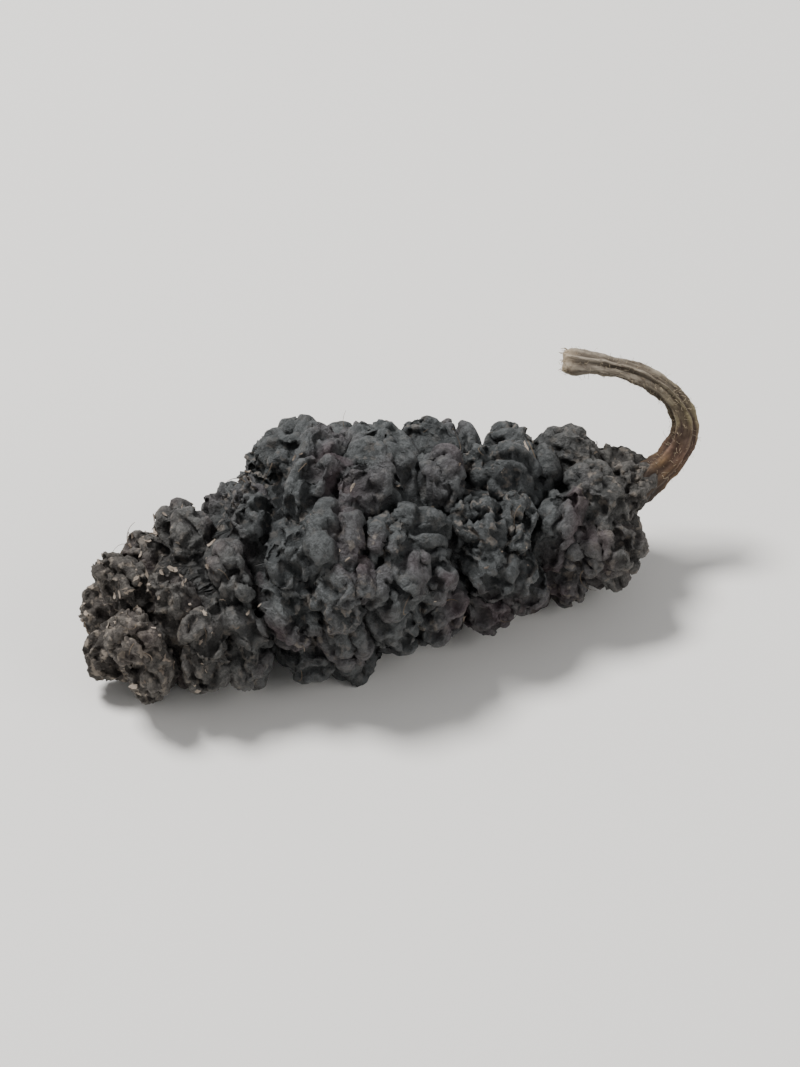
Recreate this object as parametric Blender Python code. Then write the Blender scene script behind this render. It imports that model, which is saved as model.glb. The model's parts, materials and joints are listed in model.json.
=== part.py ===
# One dried mulberry on its short bent stalk, lying on its side.
# Metres, +Z up. The fruit's tip points to -X and its stalk end to +X. Its underside rests on z = 0,
# and the origin is under the middle of its outline.

import math
import random

import bmesh
import bpy
from mathutils import Matrix, Vector

# The fruit
FRUIT_LENGTH = 0.0280
FRUIT_WIDTH = 0.0130  # across its fattest part
HEIGHT_SHARE = 0.86  # it is flatter than it is wide
# share of the way from tip to stalk end, and the thickness there as a share of the fattest part
OUTLINE = (
    (0.0, 0.36), (0.07, 0.64), (0.2, 0.76), (0.43, 1.0), (0.66, 0.86), (0.85, 0.7), (0.95, 0.58), (1.0, 0.4),
)
SIDE_BEND = 0.0007  # how far the middle of its axis stands out of line, towards +Y
TIP_DROOP = 0.0004
AXIS_LEVEL = 0.25  # 1 for an axis that lies level, 0 for an underside that does
SEAT_TRIM = 0.0005  # how much of its underside the surface below has pressed flat
SLOPE_STEP = 0.01  # share of the way over which a slope or a heading is measured
FRUIT_COLOUR = (0.045, 0.043, 0.048)
FRUIT_ROUGHNESS = 0.62

# The drupelets, in one long helix round the fruit
DRUPELET_LENGTH = 0.0043  # round the fruit
DRUPELET_WIDTH = 0.0031  # along it
DRUPELET_HEIGHT = 0.0047  # from its root, deep in the fruit, to its crown
HELIX_ENDS = (0.035, 0.975)  # share of the way from tip to stalk end where the helix starts and ends
HELIX_PITCH = 0.0023
HELIX_STEP = 0.0032  # from one drupelet to the next
HELIX_DEPTH = 0.0009  # how far inside the outline that step is measured
HELIX_LEAST_RADIUS = 0.0012
END_SIZE = 0.76  # drupelets at the two ends, against those in the middle
SIZE_SPREAD = 0.13
STRETCH_SPREAD = 0.14
SHARE_SPREAD = 0.009
TURN_SPREAD = 0.14  # radians
LEAN_SPREAD = 0.26
TWIST_SPREAD = 0.55
PLACE_SEED = 31

# The skin of a drupelet, in a few shapes that take turns along the helix
SHAPES = 9
SIDES = 10
LEVELS = 7
BLUNTNESS = 2.35  # 2 is an ellipsoid, and more is boxier
BEAN_BEND = 0.26
FURROWS = 2  # soft furrows over each crown
FURROW_TURN_SPREAD = 0.5  # radians
FURROW_OFFSET = 0.4  # the next three are shares of the drupelet's half size
FURROW_WIDTHS = (0.2, 0.32)
FURROW_DEPTHS = (0.06, 0.24)
FURROW_LOW = -0.35  # how far down a drupelet its furrows fade out, with the crown at 1
FOLD_SEED = 12

# The solid heart that they stand out of
CORE_DEPTH = 0.0018  # inside the outline
CORE_ENDS = (0.06, 0.94)
CORE_RINGS = 13
CORE_SIDES = 12
CORE_LEAST_RADIUS = 0.0009
WELD = 0.000002

# The stalk
STALK_RADIUS = 0.00062
STALK_GAP = 0.0003  # between the stalk and its socket
STALK_SIDES = 10
STALK_RINGS = 26
# its centre line from inside the socket to the cut end, from the middle of the fruit's stalk end
STALK_LINE = (
    (-0.0022, 0.0003, 0.0011),
    (-0.0005, 0.0006, 0.0018),
    (0.0010, 0.0009, 0.0027),
    (0.0018, 0.0013, 0.0041),
    (0.0014, 0.0020, 0.0054),
    (0.0002, 0.0028, 0.0064),
    (-0.0015, 0.0036, 0.0069),
    (-0.0032, 0.0043, 0.0071),
)
# share of the way along, and the thickness there against STALK_RADIUS
STALK_OUTLINE = ((0.0, 1.0), (0.16, 1.1), (0.32, 0.95), (0.6, 0.78), (0.88, 0.8), (0.97, 1.15), (1.0, 1.05))
STALK_COLOUR = (0.27, 0.17, 0.09)
STALK_ROUGHNESS = 0.8
SOFT_EDGE = 50  # degrees between two faces that still look round


def remove_all_objects():
    for found in list(bpy.data.objects):
        bpy.data.objects.remove(found)


def between(stations, share):
    """The value at this share of the way, on a smooth curve through the stations."""
    for (start, low), (end, high) in zip(stations, stations[1:]):
        if share <= end:
            part = max(0.0, (share - start) / (end - start))
            return low + (high - low) * part * part * (3 - 2 * part)
    return stations[-1][1]


def half_width(share):
    return between(OUTLINE, share) * FRUIT_WIDTH / 2


def axis_point(share):
    """A point on the fruit's own axis, which bends a little to one side and droops to its tip."""
    level = AXIS_LEVEL * FRUIT_WIDTH / 2 + (1 - AXIS_LEVEL) * half_width(share)
    return Vector((
        (share - 0.5) * FRUIT_LENGTH,
        SIDE_BEND * math.sin(math.pi * share),
        level * HEIGHT_SHARE - TIP_DROOP * (1 - share) - SEAT_TRIM,
    ))


def round_axis(turn):
    """The way out of the axis at this turn round it, on the fruit's flattened section."""
    return Vector((0, math.cos(turn), HEIGHT_SHARE * math.sin(turn)))


def surface_frame(share, turn):
    """A point on the outline, and a rotation whose axes point round the fruit, along it and out of it."""
    low, high = max(0.0, share - SLOPE_STEP), min(1.0, share + SLOPE_STEP)
    slope = (half_width(high) - half_width(low)) / ((high - low) * FRUIT_LENGTH)
    outward = Vector((-slope, math.cos(turn), math.sin(turn) / HEIGHT_SHARE)).normalized()
    ring = Vector((0, -math.sin(turn), HEIGHT_SHARE * math.cos(turn))).normalized()
    along = outward.cross(ring).normalized()
    point = axis_point(share) + half_width(share) * round_axis(turn)
    return point, Matrix((ring, along, outward)).transposed()


def helix_places():
    """Share of the way along the fruit and turn round it for each drupelet, from tip to stalk end."""
    share, last = HELIX_ENDS
    turn = 0.0
    while share < last:
        yield share, turn
        angle = HELIX_STEP / max(half_width(share) - HELIX_DEPTH, HELIX_LEAST_RADIUS)
        turn += angle
        share += HELIX_PITCH / FRUIT_LENGTH * angle / math.tau


def drupelet_matrices():
    """Where each drupelet's middle is, which way its crown faces, and its half size each way."""
    draw = random.Random(PLACE_SEED)

    def about_one(spread):
        return draw.uniform(1 - spread, 1 + spread)

    found = []
    for share, turn in helix_places():
        share = min(max(share + draw.uniform(-SHARE_SPREAD, SHARE_SPREAD), 0.0), 1.0)
        turn += draw.uniform(-TURN_SPREAD, TURN_SPREAD)
        size = (END_SIZE + (1 - END_SIZE) * math.sin(math.pi * share)) * about_one(SIZE_SPREAD)
        point, facing = surface_frame(share, turn)
        for axis in "XY":
            facing = facing @ Matrix.Rotation(draw.uniform(-LEAN_SPREAD, LEAN_SPREAD), 3, axis)
        facing = facing @ Matrix.Rotation(draw.gauss(0, TWIST_SPREAD), 3, "Z")
        half = Matrix.Diagonal((
            size * about_one(STRETCH_SPREAD) * DRUPELET_LENGTH / 2,
            size * about_one(STRETCH_SPREAD) * DRUPELET_WIDTH / 2,
            size * DRUPELET_HEIGHT / 2,
        ))
        middle = point - facing.col[2] * size * about_one(SIZE_SPREAD) * DRUPELET_HEIGHT / 2
        found.append(Matrix.Translation(middle) @ (facing @ half).to_4x4())
    return found


def tip_matrix():
    """The place of the last drupelet, which closes the tip."""
    facing = Matrix.Rotation(-math.pi / 2, 3, "Y")
    half = Matrix.Diagonal((DRUPELET_LENGTH, DRUPELET_WIDTH, DRUPELET_HEIGHT)) * (END_SIZE / 2)
    middle = axis_point(0.0) + Vector((DRUPELET_HEIGHT * END_SIZE / 2, 0, 0))
    return Matrix.Translation(middle) @ (facing @ half).to_4x4()


def drupelet_mesh(draw):
    """A shrunken drupelet of half size 1 with its crown towards +Z: blunt, bent and softly furrowed."""
    mesh = bmesh.new()
    bmesh.ops.create_uvsphere(mesh, u_segments=SIDES, v_segments=LEVELS, radius=1)
    furrows = []
    heading = draw.uniform(0, math.pi)
    for _ in range(FURROWS):
        heading += math.pi / FURROWS + draw.uniform(-FURROW_TURN_SPREAD, FURROW_TURN_SPREAD)
        across = Vector((math.cos(heading), math.sin(heading), 0))
        offset = draw.uniform(-FURROW_OFFSET, FURROW_OFFSET)
        furrows.append((across, offset, draw.uniform(*FURROW_WIDTHS), draw.uniform(*FURROW_DEPTHS)))
    bend = draw.uniform(-BEAN_BEND, BEAN_BEND)
    for vert in mesh.verts:
        way = vert.co.normalized()
        blunt = sum(abs(part) ** BLUNTNESS for part in way) ** (-1 / BLUNTNESS)
        crown = max(0.0, way.z - FURROW_LOW) / (1 - FURROW_LOW)
        sunk = 0.0
        for across, offset, wide, depth in furrows:
            sunk += depth * math.exp(-((way.dot(across) - offset) / wide) ** 2)
        vert.co = way * blunt * (1 - crown * sunk)
        vert.co.y += bend * vert.co.x ** 2
    bmesh.ops.triangulate(mesh, faces=mesh.faces)
    return mesh


def loft(rings):
    """A closed skin over rings of points, with a flat face at each end."""
    mesh = bmesh.new()
    made = [[mesh.verts.new(point) for point in ring] for ring in rings]
    for lower, upper in zip(made, made[1:]):
        for side in range(len(lower)):
            following = (side + 1) % len(lower)
            mesh.faces.new((lower[side], lower[following], upper[following], upper[side]))
    mesh.faces.new(made[0])
    mesh.faces.new(made[-1])
    bmesh.ops.recalc_face_normals(mesh, faces=mesh.faces)
    return mesh


def core_mesh():
    rings = []
    first, last = CORE_ENDS
    for number in range(CORE_RINGS):
        share = first + (last - first) * number / (CORE_RINGS - 1)
        radius = max(half_width(share) - CORE_DEPTH, CORE_LEAST_RADIUS)
        turns = [math.tau * side / CORE_SIDES for side in range(CORE_SIDES)]
        rings.append([axis_point(share) + radius * round_axis(turn) for turn in turns])
    return loft(rings)


def stalk_point(share):
    """A point on the stalk's centre line, on a smooth curve through STALK_LINE."""
    spans = len(STALK_LINE) - 1
    number = min(int(share * spans), spans - 1)
    part = share * spans - number
    before, start, end, after = (
        Vector(STALK_LINE[min(max(index, 0), spans)]) for index in range(number - 1, number + 3)
    )
    curve = start * 2 + (end - before) * part + (before * 2 - start * 5 + end * 4 - after) * part ** 2
    curve += (start * 3 - before - end * 3 + after) * part ** 3
    return axis_point(1.0) + curve / 2


def stalk_mesh(extra):
    """The stalk as a round tube with closed ends, larger by extra all over."""
    rings = []
    side_way = Vector((0, 1, 0))
    for number in range(STALK_RINGS):
        share = number / (STALK_RINGS - 1)
        low, high = max(0.0, share - SLOPE_STEP), min(1.0, share + SLOPE_STEP)
        heading = (stalk_point(high) - stalk_point(low)).normalized()
        side_way = (side_way - heading * side_way.dot(heading)).normalized()
        up_way = heading.cross(side_way)
        radius = STALK_RADIUS * between(STALK_OUTLINE, share) + extra
        centre = stalk_point(share)
        if number == 0:
            centre -= heading * extra
        turns = [math.tau * side / STALK_SIDES for side in range(STALK_SIDES)]
        rings.append([
            centre + radius * (side_way * math.cos(turn) + up_way * math.sin(turn)) for turn in turns
        ])
    return loft(rings)


def seat_cutter_mesh():
    """A slab with its top on the surface that the fruit rests on."""
    mesh = bmesh.new()
    bmesh.ops.create_cube(mesh, size=1)
    bmesh.ops.scale(mesh, verts=mesh.verts, vec=(FRUIT_LENGTH * 2, FRUIT_WIDTH * 2, FRUIT_WIDTH))
    bmesh.ops.translate(mesh, verts=mesh.verts, vec=(0, 0, -FRUIT_WIDTH / 2))
    return mesh


def add_object(name, mesh, collection):
    data = bpy.data.meshes.new(name)
    mesh.to_mesh(data)
    mesh.free()
    made = bpy.data.objects.new(name, data)
    collection.objects.link(made)
    return made


def apply_boolean(target, operation, others):
    """Joins the target with all of a collection, or cuts it by all of it, and removes the collection."""
    modifier = target.modifiers.new(operation.title(), "BOOLEAN")
    modifier.operation = operation
    modifier.operand_type = "COLLECTION"
    modifier.collection = others
    modifier.solver = "EXACT"
    shaped = target.evaluated_get(bpy.context.evaluated_depsgraph_get())
    data = bpy.data.meshes.new_from_object(shaped)
    target.modifiers.clear()
    target.data = data
    for helper in list(others.objects):
        bpy.data.objects.remove(helper)
    bpy.data.collections.remove(others)


def new_collection(name):
    made = bpy.data.collections.new(name)
    bpy.context.scene.collection.children.link(made)
    return made


def keep_outer_skin(target):
    """Fills any hollow that joining the drupelets sealed, by keeping only the body's outer surface."""
    mesh = bmesh.new()
    mesh.from_mesh(target.data)
    bmesh.ops.triangulate(mesh, faces=mesh.faces)
    bmesh.ops.remove_doubles(mesh, verts=mesh.verts, dist=WELD)
    bmesh.ops.dissolve_degenerate(mesh, edges=mesh.edges, dist=WELD)
    bmesh.ops.triangulate(mesh, faces=mesh.faces)
    waiting = set(mesh.verts)
    skins = []
    while waiting:
        edge = [waiting.pop()]
        skin = set(edge)
        while edge:
            near = {link.other_vert(vert) for vert in edge for link in vert.link_edges}
            edge = list(near & waiting)
            waiting.difference_update(edge)
            skin.update(edge)
        skins.append(skin)
    outer = max(skins, key=len)
    for skin in skins:
        if skin is not outer:
            bmesh.ops.delete(mesh, geom=list(skin), context="VERTS")
    mesh.to_mesh(target.data)
    mesh.free()


def finish(target, name, colour, roughness):
    """Gives a piece its one material and rounds the look of its softer edges."""
    made = bpy.data.materials.new(name)
    made.use_nodes = True
    made.diffuse_color = (*colour, 1)
    shader = made.node_tree.nodes["Principled BSDF"]
    shader.inputs["Base Color"].default_value = (*colour, 1)
    shader.inputs["Roughness"].default_value = roughness
    shader.inputs["Metallic"].default_value = 0
    target.data.materials.clear()
    target.data.materials.append(made)
    target.data.shade_smooth()
    target.data.set_sharp_from_angle(angle=math.radians(SOFT_EDGE))


def make_fruit():
    """The whole fruit in one body: drupelets joined to the core, a socket for the stalk and a flat seat."""
    fruit = add_object("fruit", core_mesh(), bpy.context.scene.collection)
    drupelets = new_collection("drupelets")
    draw = random.Random(FOLD_SEED)
    shapes = [drupelet_mesh(draw) for _ in range(SHAPES)]
    for number, place in enumerate([tip_matrix(), *drupelet_matrices()]):
        mesh = shapes[number % SHAPES].copy()
        bmesh.ops.transform(mesh, matrix=place, verts=mesh.verts)
        add_object(f"drupelet_{number}", mesh, drupelets)
    apply_boolean(fruit, "UNION", drupelets)
    cutters = new_collection("cutters")
    add_object("socket_cutter", stalk_mesh(STALK_GAP), cutters)
    add_object("seat_cutter", seat_cutter_mesh(), cutters)
    apply_boolean(fruit, "DIFFERENCE", cutters)
    keep_outer_skin(fruit)
    finish(fruit, "dried_skin", FRUIT_COLOUR, FRUIT_ROUGHNESS)
    return fruit


def make_stalk():
    stalk = add_object("stalk", stalk_mesh(0.0), bpy.context.scene.collection)
    finish(stalk, "dried_stalk", STALK_COLOUR, STALK_ROUGHNESS)
    return stalk


def centre_outline(pieces):
    """Moves the pieces together until the middle of their outline is over the origin."""
    middle = []
    for side in (0, 1):
        places = [vert.co[side] for piece in pieces for vert in piece.data.vertices]
        middle.append((min(places) + max(places)) / 2)
    for piece in pieces:
        piece.data.transform(Matrix.Translation((-middle[0], -middle[1], 0)))


remove_all_objects()
centre_outline([make_fruit(), make_stalk()])
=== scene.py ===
import json
import math
import random

import bpy
from mathutils import Matrix, Vector, kdtree, noise

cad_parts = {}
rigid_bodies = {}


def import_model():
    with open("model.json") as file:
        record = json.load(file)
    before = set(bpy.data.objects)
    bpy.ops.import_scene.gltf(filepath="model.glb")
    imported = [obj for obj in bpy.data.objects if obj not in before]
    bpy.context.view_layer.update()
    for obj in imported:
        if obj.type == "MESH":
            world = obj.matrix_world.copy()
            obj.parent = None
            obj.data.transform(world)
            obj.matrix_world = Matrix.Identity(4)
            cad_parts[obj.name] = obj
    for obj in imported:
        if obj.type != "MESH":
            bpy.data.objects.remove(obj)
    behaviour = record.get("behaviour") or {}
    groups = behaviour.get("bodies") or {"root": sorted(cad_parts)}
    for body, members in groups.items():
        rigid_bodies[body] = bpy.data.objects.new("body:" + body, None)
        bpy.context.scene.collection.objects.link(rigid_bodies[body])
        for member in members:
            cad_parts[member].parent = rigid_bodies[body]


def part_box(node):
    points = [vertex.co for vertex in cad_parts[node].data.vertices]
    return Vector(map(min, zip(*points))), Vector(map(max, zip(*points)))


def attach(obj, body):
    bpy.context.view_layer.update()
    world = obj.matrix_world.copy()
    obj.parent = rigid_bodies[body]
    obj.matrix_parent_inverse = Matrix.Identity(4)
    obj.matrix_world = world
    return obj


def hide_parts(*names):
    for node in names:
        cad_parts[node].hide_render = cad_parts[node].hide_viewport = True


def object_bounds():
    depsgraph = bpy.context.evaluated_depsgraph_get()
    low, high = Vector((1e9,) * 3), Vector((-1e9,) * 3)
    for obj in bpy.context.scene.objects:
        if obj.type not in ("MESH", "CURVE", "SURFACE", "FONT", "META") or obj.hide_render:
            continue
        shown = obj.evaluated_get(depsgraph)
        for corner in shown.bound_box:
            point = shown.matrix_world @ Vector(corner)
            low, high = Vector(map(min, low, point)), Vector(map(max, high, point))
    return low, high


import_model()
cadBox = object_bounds()
mm = 0.001
print("frame loaded")


# Small helpers

def pickOnly(piece):
    bpy.ops.object.select_all(action="DESELECT")
    piece.select_set(True)
    bpy.context.view_layer.objects.active = piece


def applyModifier(piece, kind, **settings):
    pickOnly(piece)
    modifier = piece.modifiers.new(kind.title(), kind)
    for name, value in settings.items():
        setattr(modifier, name, value)
    bpy.ops.object.modifier_apply(modifier=modifier.name)


def joinAll(pieces, name):
    bpy.ops.object.select_all(action="DESELECT")
    for piece in pieces:
        piece.select_set(True)
    bpy.context.view_layer.objects.active = pieces[0]
    bpy.ops.object.join()
    pieces[0].name = name
    return pieces[0]


def copyOf(piece):  # a copy with its own mesh
    made = piece.copy()
    made.data = piece.data.copy()
    bpy.context.scene.collection.objects.link(made)
    return made


def newValues(piece, name, kind="FLOAT"):  # one value for each vertex, which the materials read
    return piece.data.attributes.new(name, kind, "POINT").data


def between(stations, share):  # the value at this share of the way, on a smooth curve through the stations
    for (start, low), (end, high) in zip(stations, stations[1:]):
        if share <= end:
            part = max(0.0, (share - start) / (end - start))
            return low + (high - low) * part * part * (3 - 2 * part)
    return stations[-1][1]


def ramp(low, high, value):  # 0 below low, 1 above high
    return min(1.0, max(0.0, (value - low) / (high - low)))


def trianglesOf(piece):
    return sum(len(face.vertices) - 2 for face in piece.data.polygons)


def hexColour(code):
    channels = [int(code[i:i + 2], 16) / 255 for i in (1, 3, 5)]
    return tuple(c / 12.92 if c <= 0.04045 else ((c + 0.055) / 1.055) ** 2.4 for c in channels) + (1.0,)


def addNode(tree, kind, values=None, links=None, stops=(), **settings):
    node = tree.nodes.new(kind)
    for name, value in settings.items():
        setattr(node, name, value)
    for name, value in (values or {}).items():
        node.inputs[name].default_value = value
    for name, source in (links or {}).items():
        tree.links.new(source, node.inputs[name])
    if stops:  # a colour ramp's positions and colours, and a new ramp has its first and last mark already
        marks = node.color_ramp.elements
        for mark, (position, colour) in zip(marks, (stops[0], stops[-1])):
            mark.position = position
            mark.color = hexColour(colour)
        for position, colour in stops[1:-1]:
            marks.new(position).color = hexColour(colour)
    return node


def newMaterial(name):
    made = bpy.data.materials.new(name)
    made.use_nodes = True
    return made, made.node_tree, made.node_tree.nodes["Principled BSDF"]


def keepInBox(piece):  # nothing goes below the floor, or more than a hair beyond the solid's box
    room = 0.1 * mm
    for vert in piece.data.vertices:
        for side in range(3):
            low, high = cadBox[0][side], cadBox[1][side]
            if vert.co[side] > high:
                vert.co[side] = high + room * (1 - math.exp((high - vert.co[side]) / room))
            if vert.co[side] < low:
                past = 0 if side == 2 else room * (1 - math.exp((vert.co[side] - low) / room))
                vert.co[side] = low - past


def dress(piece, made):
    keepInBox(piece)
    piece.data.materials.clear()
    piece.data.materials.append(made)
    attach(piece, "root")
    print(piece.name, "triangles:", trianglesOf(piece))


# Camera, light and floor

view = {
    "azimuth": -19, "elevation": 42,  # degrees, as the photo looks at the fruit
    "lens": 150,  # mm
    "distance": 0.205,
    "aim": (0.0003, 0.0, 0.0046),
}
studio = {
    "floor": 1.2,
    "floorColour": "#e4e1dc",
    "world": "#f2f4f7", "worldStrength": 0.44,
    # each light's side, height and distance from the fruit, its size in metres and its power in watts
    "key": (-140, 62, 0.42, 0.13, 3.0),
    "fill": (40, 35, 0.5, 0.3, 0.8),
}


def lookFrom(azimuth, elevation, distance, aim):
    turn, rise = math.radians(azimuth), math.radians(elevation)
    back = Vector((math.sin(turn) * math.cos(rise), -math.cos(turn) * math.cos(rise), math.sin(rise)))
    return Vector(aim) + back * distance, (-back).to_track_quat("-Z", "Y").to_euler()


def setCamera():
    place, turned = lookFrom(view["azimuth"], view["elevation"], view["distance"], view["aim"])
    bpy.ops.object.camera_add(location=place, rotation=turned)
    camera = bpy.context.object
    camera.data.lens = view["lens"]
    camera.data.clip_start, camera.data.clip_end = 0.01, 10
    bpy.context.scene.camera = camera


def setLight(name):
    azimuth, elevation, distance, size, power = studio[name]
    place, turned = lookFrom(azimuth, elevation, distance, view["aim"])
    bpy.ops.object.light_add(type="AREA", location=place, rotation=turned)
    lamp = bpy.context.object
    lamp.name = name
    lamp.data.shape = "DISK"
    lamp.data.size = size
    lamp.data.energy = power


def setFloor():  # matt painted board: pale, with no gloss
    bpy.ops.mesh.primitive_plane_add(size=studio["floor"])
    floor = bpy.context.object
    floor.name = "floor"
    made, _, shader = newMaterial("matt painted board")
    shader.inputs["Base Color"].default_value = hexColour(studio["floorColour"])
    shader.inputs["Roughness"].default_value = 0.9
    floor.data.materials.append(made)


def setWorld():
    world = bpy.data.worlds.new("soft studio")
    world.use_nodes = True
    sky = world.node_tree.nodes["Background"]
    sky.inputs["Color"].default_value = hexColour(studio["world"])
    sky.inputs["Strength"].default_value = studio["worldStrength"]
    bpy.context.scene.world = world


# The fruit's form, in metres: the same values, rules and draws as the solid that this skin stands for

fruit = {
    "length": 0.0280,
    "width": 0.0130,
    "heightShare": 0.86,
    "outline": (  # shares of the length and of the width
        (0.0, 0.36), (0.07, 0.64), (0.2, 0.76), (0.43, 1.0),
        (0.66, 0.86), (0.85, 0.7), (0.95, 0.58), (1.0, 0.4),
    ),
    "sideBend": 0.0007,
    "tipDroop": 0.0004,
    "axisLevel": 0.25,
    "seatTrim": 0.0005,
    "slopeStep": 0.01,
}
helix = {
    "ends": (0.035, 0.975),
    "pitch": 0.0023,  # along the fruit, for each turn
    "step": 0.0032,  # round it, from one drupelet to the next
    "depth": 0.0009,  # below the outline, where that step is taken
    "leastRadius": 0.0012,
    "endSize": 0.76,  # of a drupelet at either end, against one in the middle
    "sizeSpread": 0.13,
    "stretchSpread": 0.14,
    "shareSpread": 0.009,
    "turnSpread": 0.14,
    "leanSpread": 0.26,
    "twistSpread": 0.55,
    "seed": 31,
}
drupelet = {
    "size": (0.0043, 0.0031, 0.0047),  # round the fruit, along it, and root to crown
    "shapes": 9,
    "bluntness": 2.35,
    "beanBend": 0.26,
    "furrows": 2,
    "furrowTurnSpread": 0.5,
    "furrowOffset": 0.4,
    "furrowWidths": (0.2, 0.32),
    "furrowDepths": (0.06, 0.24),
    "furrowLow": -0.35,
    "seed": 12,
}
# What the solid leaves to this skin: each shape dries in two ways. A millimetre is one unit here,
# because the cloth solver suits that.
drying = {
    "ways": 2,
    "detail": 5,  # subdivisions of the ball that a drupelet starts from
    "waver": (0.07, 1.3),  # how high and how fine, so that the skin has somewhere to start folding
    "frames": 30,
    "skinGrowth": (0.19, 0.07),  # how much more skin than flesh it has, if its skin is soft or stiff
    "bending": (70, 420),
    "suction": (0.6, 3.6),  # of the shrinking flesh on the skin
    "flesh": (0.14, 0.36),  # how firmly the flesh holds the skin, from its softest to its firmest place
    "fleshFineness": 0.9,  # of those places
    "rootLevel": -0.6,  # from its middle, below which the skin stays put
    "cloth": {
        "quality": 6, "mass": 0.2, "pin_stiffness": 20, "air_damping": 3,
        "tension_stiffness": 40, "compression_stiffness": 40, "shear_stiffness": 20,
        "tension_damping": 15, "compression_damping": 15, "shear_damping": 15, "bending_damping": 2,
    },
    "mostOut": 0.08,
    "mostIn": 0.5,
    "slimmer": 0.19,  # how much narrower its crown dries, which opens the gaps
    "slimLevels": (-0.4, 0.5),  # shares of its half height between which that sets in
    "seed": 77,
}


def halfWidth(share):
    return between(fruit["outline"], share) * fruit["width"] / 2


def axisPoint(share):
    level = fruit["axisLevel"] * fruit["width"] / 2 + (1 - fruit["axisLevel"]) * halfWidth(share)
    return Vector((
        (share - 0.5) * fruit["length"],
        fruit["sideBend"] * math.sin(math.pi * share),
        level * fruit["heightShare"] - fruit["tipDroop"] * (1 - share) - fruit["seatTrim"],
    ))


def roundAxis(turn):
    return Vector((0, math.cos(turn), fruit["heightShare"] * math.sin(turn)))


def surfaceFrame(share, turn):
    low, high = max(0.0, share - fruit["slopeStep"]), min(1.0, share + fruit["slopeStep"])
    slope = (halfWidth(high) - halfWidth(low)) / ((high - low) * fruit["length"])
    outward = Vector((-slope, math.cos(turn), math.sin(turn) / fruit["heightShare"])).normalized()
    ring = Vector((0, -math.sin(turn), fruit["heightShare"] * math.cos(turn))).normalized()
    along = outward.cross(ring).normalized()
    point = axisPoint(share) + halfWidth(share) * roundAxis(turn)
    return point, Matrix((ring, along, outward)).transposed()


def helixPlaces():
    share, last = helix["ends"]
    turn = 0.0
    while share < last:
        yield share, turn
        angle = helix["step"] / max(halfWidth(share) - helix["depth"], helix["leastRadius"])
        turn += angle
        share += helix["pitch"] / fruit["length"] * angle / math.tau


def drupeletPlaces():
    draw = random.Random(helix["seed"])
    spread = helix["sizeSpread"]
    stretch = helix["stretchSpread"]
    lean = helix["leanSpread"]
    facing = Matrix.Rotation(-math.pi / 2, 3, "Y")  # the first one closes the tip
    half = Matrix.Diagonal(drupelet["size"]) * (helix["endSize"] / 2)
    middle = axisPoint(0.0) + Vector((drupelet["size"][2] * helix["endSize"] / 2, 0, 0))
    found = [Matrix.Translation(middle) @ (facing @ half).to_4x4()]
    for share, turn in helixPlaces():
        share = min(max(share + draw.uniform(-helix["shareSpread"], helix["shareSpread"]), 0.0), 1.0)
        turn += draw.uniform(-helix["turnSpread"], helix["turnSpread"])
        size = helix["endSize"] + (1 - helix["endSize"]) * math.sin(math.pi * share)
        size *= draw.uniform(1 - spread, 1 + spread)
        point, facing = surfaceFrame(share, turn)
        for axis in "XY":
            facing = facing @ Matrix.Rotation(draw.uniform(-lean, lean), 3, axis)
        facing = facing @ Matrix.Rotation(draw.gauss(0, helix["twistSpread"]), 3, "Z")
        half = Matrix.Diagonal((
            size * draw.uniform(1 - stretch, 1 + stretch) * drupelet["size"][0] / 2,
            size * draw.uniform(1 - stretch, 1 + stretch) * drupelet["size"][1] / 2,
            size * drupelet["size"][2] / 2,
        ))
        depth = size * draw.uniform(1 - spread, 1 + spread) * drupelet["size"][2] / 2
        found.append(Matrix.Translation(point - facing.col[2] * depth) @ (facing @ half).to_4x4())
    return found


# The stalk's line, as the solid has it, and the shift that put the whole outline over the origin

stalk = {
    "radius": 0.00062,
    "line": (
        (-0.0022, 0.0003, 0.0011),
        (-0.0005, 0.0006, 0.0018),
        (0.0010, 0.0009, 0.0027),
        (0.0018, 0.0013, 0.0041),
        (0.0014, 0.0020, 0.0054),
        (0.0002, 0.0028, 0.0064),
        (-0.0015, 0.0036, 0.0069),
        (-0.0032, 0.0043, 0.0071),
    ),
    "solidOutline": (
        (0.0, 1.0), (0.16, 1.1), (0.32, 0.95), (0.6, 0.78), (0.88, 0.8), (0.97, 1.15), (1.0, 1.05),
    ),
    "solidRings": 26,
    "solidSides": 10,
    # what the solid leaves to this stalk
    "outline": (
        (0.0, 1.12), (0.16, 1.2), (0.32, 1.0), (0.6, 0.76), (0.85, 0.66), (0.965, 0.9), (1.0, 0.78),
    ),
    "rings": 150,
    "sides": 40,
    "ridges": 6,
    "ridgeWander": (1.2, 1.3, 2.5),  # along it, how fine, and how far
    "ridgeHeight": 0.00009,
    "ridgeFade": (0.9, 0.6),  # where they start to fade towards the cut, and by how much
    "knobs": (1.5, 20),  # how fine round it and along it
    "knobHeight": 0.0001,
    "pits": (4, 75),
    "pitHeight": 0.00004,
    "cutRim": 0.00014,
    "cutLip": 0.00003,
    "cutSink": 0.00010,
    "torn": (0.97, 0.00014, 0.00035),  # where the torn end starts, how uneven it is and how coarse
    "rooted": 0.3,  # the share of it that the skin may cling to
}


def stalkPoint(share):
    spans = len(stalk["line"]) - 1
    number = min(int(share * spans), spans - 1)
    part = share * spans - number
    before, start, end, after = (
        Vector(stalk["line"][min(max(index, 0), spans)]) for index in range(number - 1, number + 3)
    )
    curve = start * 2 + (end - before) * part + (before * 2 - start * 5 + end * 4 - after) * part ** 2
    curve += (start * 3 - before - end * 3 + after) * part ** 3
    return axisPoint(1.0) + curve / 2


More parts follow.
